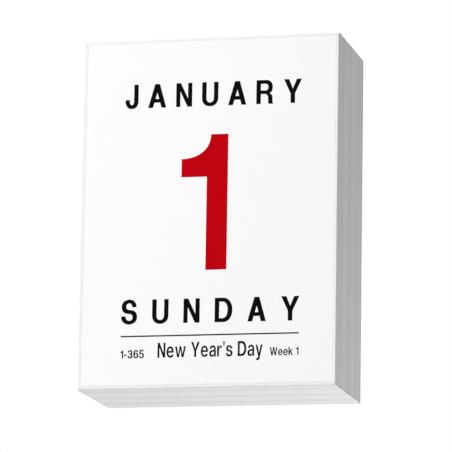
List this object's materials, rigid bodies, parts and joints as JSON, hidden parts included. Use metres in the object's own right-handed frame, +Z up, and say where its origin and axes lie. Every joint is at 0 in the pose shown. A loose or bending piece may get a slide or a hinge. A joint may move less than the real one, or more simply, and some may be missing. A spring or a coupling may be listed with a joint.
{
  "type": "tear-off day calendar",
  "caption": "Wall block of dated day leaves, gummed along their heads to a greyboard back. The top leaf lifts, leaves pull off one by one, and the block opens by the month.",
  "frame": {"origin": "centre of the backing board's back face", "axes": "+Z up along the leaves' height, +X along their width to the reader's right, +Y out of the back face; the printed faces look along -Y"},
  "size_m": [0.08, 0.0376, 0.1083],
  "materials": {
    "leaf_paper": "uncoated white, smooth, with cut edges",
    "padding_gum": "dried white padding gum, satin",
    "backing_greyboard": "pale grey pulp board, matt"
  },
  "bodies": {
    "december": {"december_leaves": "leaf_paper", "december_gum": "padding_gum", "backing_board": "backing_greyboard"},
    "november": {"november_leaves": "leaf_paper", "november_gum": "padding_gum"},
    "october": {"october_leaves": "leaf_paper", "october_gum": "padding_gum"},
    "september": {"september_leaves": "leaf_paper", "september_gum": "padding_gum"},
    "august": {"august_leaves": "leaf_paper", "august_gum": "padding_gum"},
    "july": {"july_leaves": "leaf_paper", "july_gum": "padding_gum"},
    "june": {"june_leaves": "leaf_paper", "june_gum": "padding_gum"},
    "may": {"may_leaves": "leaf_paper", "may_gum": "padding_gum"},
    "april": {"april_leaves": "leaf_paper", "april_gum": "padding_gum"},
    "march": {"march_leaves": "leaf_paper", "march_gum": "padding_gum"},
    "february": {"february_leaves": "leaf_paper", "february_gum": "padding_gum"},
    "january": {"january_leaves": "leaf_paper", "january_gum": "padding_gum"},
    "day_07": {"leaf_07": "leaf_paper", "gum_line_07": "padding_gum"},
    "day_06": {"leaf_06": "leaf_paper", "gum_line_06": "padding_gum"},
    "day_05": {"leaf_05": "leaf_paper", "gum_line_05": "padding_gum"},
    "day_04": {"leaf_04": "leaf_paper", "gum_line_04": "padding_gum"},
    "day_03": {"leaf_03": "leaf_paper", "gum_line_03": "padding_gum"},
    "day_02": {"leaf_02": "leaf_paper", "gum_line_02": "padding_gum"},
    "day_01_head": {"gum_line_01": "padding_gum"},
    "day_01": {"leaf_01": "leaf_paper"}
  },
  "joints": [
    {"name": "open_after_november", "type": "hinge", "parent": "december", "child": "november", "pos_m": [0, -0.00457, 0.0543], "axis": [-1, 0, 0], "range_deg": [0, 8]},
    {"name": "open_after_october", "type": "hinge", "parent": "november", "child": "october", "pos_m": [0, -0.00754, 0.0543], "axis": [-1, 0, 0], "range_deg": [0, 8]},
    {"name": "open_after_september", "type": "hinge", "parent": "october", "child": "september", "pos_m": [0, -0.01061, 0.0543], "axis": [-1, 0, 0], "range_deg": [0, 8]},
    {"name": "open_after_august", "type": "hinge", "parent": "september", "child": "august", "pos_m": [0, -0.01358, 0.0543], "axis": [-1, 0, 0], "range_deg": [0, 8]},
    {"name": "open_after_july", "type": "hinge", "parent": "august", "child": "july", "pos_m": [0, -0.01665, 0.0543], "axis": [-1, 0, 0], "range_deg": [0, 8]},
    {"name": "open_after_june", "type": "hinge", "parent": "july", "child": "june", "pos_m": [0, -0.01972, 0.0543], "axis": [-1, 0, 0], "range_deg": [0, 8]},
    {"name": "open_after_may", "type": "hinge", "parent": "june", "child": "may", "pos_m": [0, -0.02269, 0.0543], "axis": [-1, 0, 0], "range_deg": [0, 8]},
    {"name": "open_after_april", "type": "hinge", "parent": "may", "child": "april", "pos_m": [0, -0.02576, 0.0543], "axis": [-1, 0, 0], "range_deg": [0, 8]},
    {"name": "open_after_march", "type": "hinge", "parent": "april", "child": "march", "pos_m": [0, -0.02873, 0.0543], "axis": [-1, 0, 0], "range_deg": [0, 8]},
    {"name": "open_after_february", "type": "hinge", "parent": "march", "child": "february", "pos_m": [0, -0.03179, 0.0543], "axis": [-1, 0, 0], "range_deg": [0, 8]},
    {"name": "open_after_january", "type": "hinge", "parent": "february", "child": "january", "pos_m": [0, -0.03457, 0.0543], "axis": [-1, 0, 0], "range_deg": [0, 8]},
    {"name": "tear_off_leaf_07", "type": "slide", "parent": "january", "child": "day_07", "axis": [0, 0, -1], "range_m": [0, 0.112]},
    {"name": "tear_off_leaf_06", "type": "slide", "parent": "january", "child": "day_06", "axis": [0, 0, -1], "range_m": [0, 0.112]},
    {"name": "tear_off_leaf_05", "type": "slide", "parent": "january", "child": "day_05", "axis": [0, 0, -1], "range_m": [0, 0.112]},
    {"name": "tear_off_leaf_04", "type": "slide", "parent": "january", "child": "day_04", "axis": [0, 0, -1], "range_m": [0, 0.112]},
    {"name": "tear_off_leaf_03", "type": "slide", "parent": "january", "child": "day_03", "axis": [0, 0, -1], "range_m": [0, 0.112]},
    {"name": "tear_off_leaf_02", "type": "slide", "parent": "january", "child": "day_02", "axis": [0, 0, -1], "range_m": [0, 0.112]},
    {"name": "first_leaf_tear_off", "type": "slide", "parent": "january", "child": "day_01_head", "axis": [0, 0, -1], "range_m": [0, 0.112]},
    {"name": "first_leaf_lift", "type": "hinge", "parent": "day_01_head", "child": "day_01", "pos_m": [0, -0.03764, 0.05358], "axis": [-1, 0, 0], "range_deg": [0, 90]}
  ]
}
